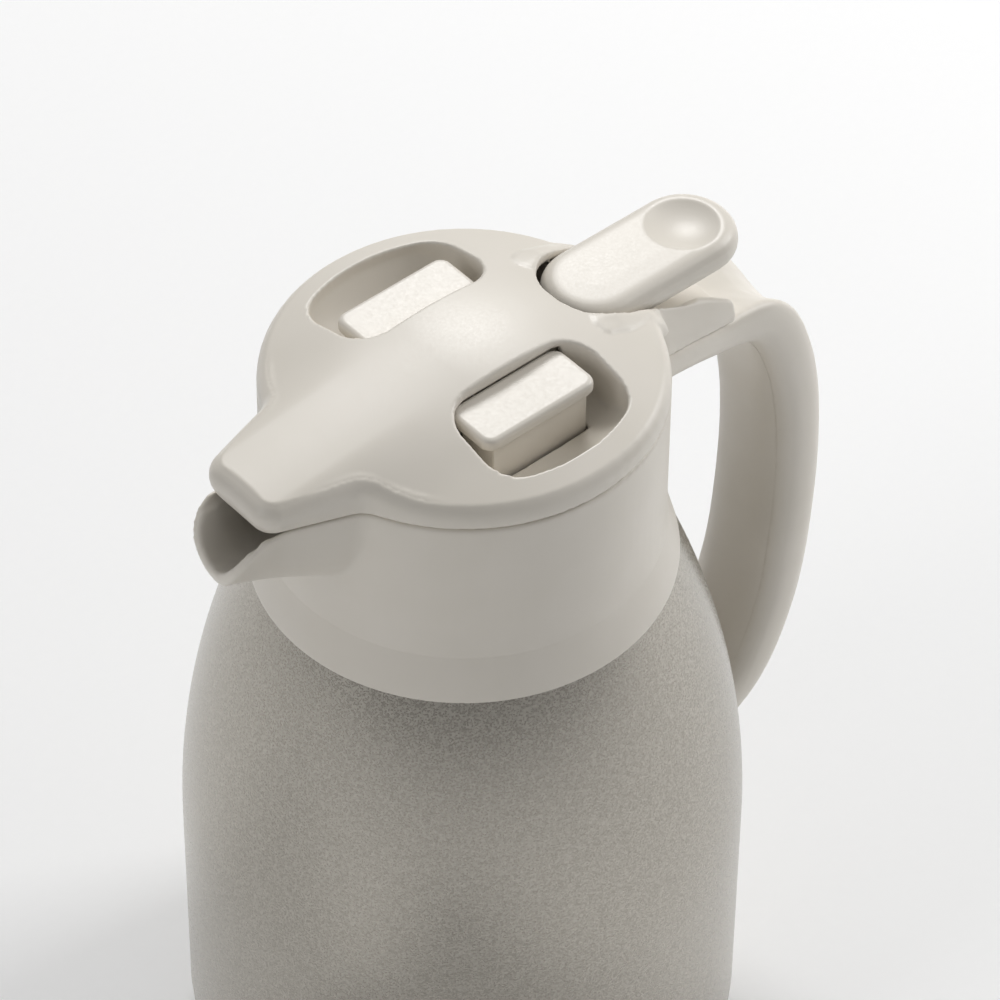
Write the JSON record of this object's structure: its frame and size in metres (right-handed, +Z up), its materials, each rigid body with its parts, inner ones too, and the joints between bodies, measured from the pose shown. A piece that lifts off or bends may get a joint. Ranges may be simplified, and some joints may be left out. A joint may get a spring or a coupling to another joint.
{
  "type": "thermal carafe",
  "caption": "Vacuum carafe of painted steel with an ivory collar, spout and handle, and a lift-out stopper lid with squeeze buttons and a pour lever.",
  "frame": {"origin": "centre of the base's resting face, on the bottle's axis", "axes": "+Z up along the bottle's axis, +X towards the handle, -X towards the spout, so the buttons are on +Y and -Y"},
  "size_m": [0.1801, 0.136, 0.2354],
  "materials": {
    "ivory_plastic": "satin",
    "champagne_paint": "satin metallic",
    "steel": "brushed",
    "copper_foil": "polished",
    "silicone": "matte",
    "foam": "matte",
    "pad_rubber": "matte"
  },
  "bodies": {
    "root": {"outer_shell": "champagne_paint", "inner_bottle": "steel", "shell_base": "steel", "vacuum_seal": "steel", "radiation_foil": "copper_foil", "base_cover": "ivory_plastic", "foot_pad": "pad_rubber", "collar": "ivory_plastic", "collar_gasket": "silicone", "neck_ring": "ivory_plastic", "handle_liner": "ivory_plastic", "handle_bracket": "steel", "bracket_screw": "steel"},
    "lid": {"lid_cover": "ivory_plastic", "lid_deck": "ivory_plastic", "deck_screws": "steel", "stopper_shell": "ivory_plastic", "stopper_foam": "foam", "stopper_insert": "ivory_plastic", "stopper_gasket": "silicone", "stem_seal": "silicone", "lever_pin": "steel", "valve_spring": "steel", "button_spring_left": "steel", "button_spring_right": "steel"},
    "lever": {"lever": "ivory_plastic"},
    "valve": {"valve_stem": "ivory_plastic", "valve_plug": "ivory_plastic", "valve_gasket": "silicone", "stem_clip": "steel"},
    "button_left": {"button_left": "ivory_plastic"},
    "button_right": {"button_right": "ivory_plastic"}
  },
  "joints": [
    {"name": "lid_lift", "type": "slide", "parent": "root", "child": "lid", "axis": [0, 0, 1], "range_m": [0, 0.09]},
    {"name": "lever_press", "type": "hinge", "parent": "lid", "child": "lever", "pos_m": [0.034, 0, 0.217], "axis": [0, 1, 0], "range_deg": [0, 8], "stiffness_Nm_per_rad": 0.69, "springref_deg": -6.76},
    {"name": "valve_lift", "type": "slide", "parent": "lid", "child": "valve", "axis": [0, 0, 1], "range_m": [0, 0.0048], "deforming": ["valve_spring"]},
    {"name": "button_press_left", "type": "slide", "parent": "lid", "child": "button_left", "axis": [0, 1, 0], "range_m": [0, 0.0036], "stiffness_N_per_m": 400, "springref_m": -0.002, "deforming": ["button_spring_left"]},
    {"name": "button_press_right", "type": "slide", "parent": "lid", "child": "button_right", "axis": [0, -1, 0], "range_m": [0, 0.0036], "stiffness_N_per_m": 400, "springref_m": -0.002, "deforming": ["button_spring_right"]}
  ],
  "couplings": [
    {"joint": "valve_lift", "follows": "lever_press", "m_per_rad": 0.034}
  ]
}
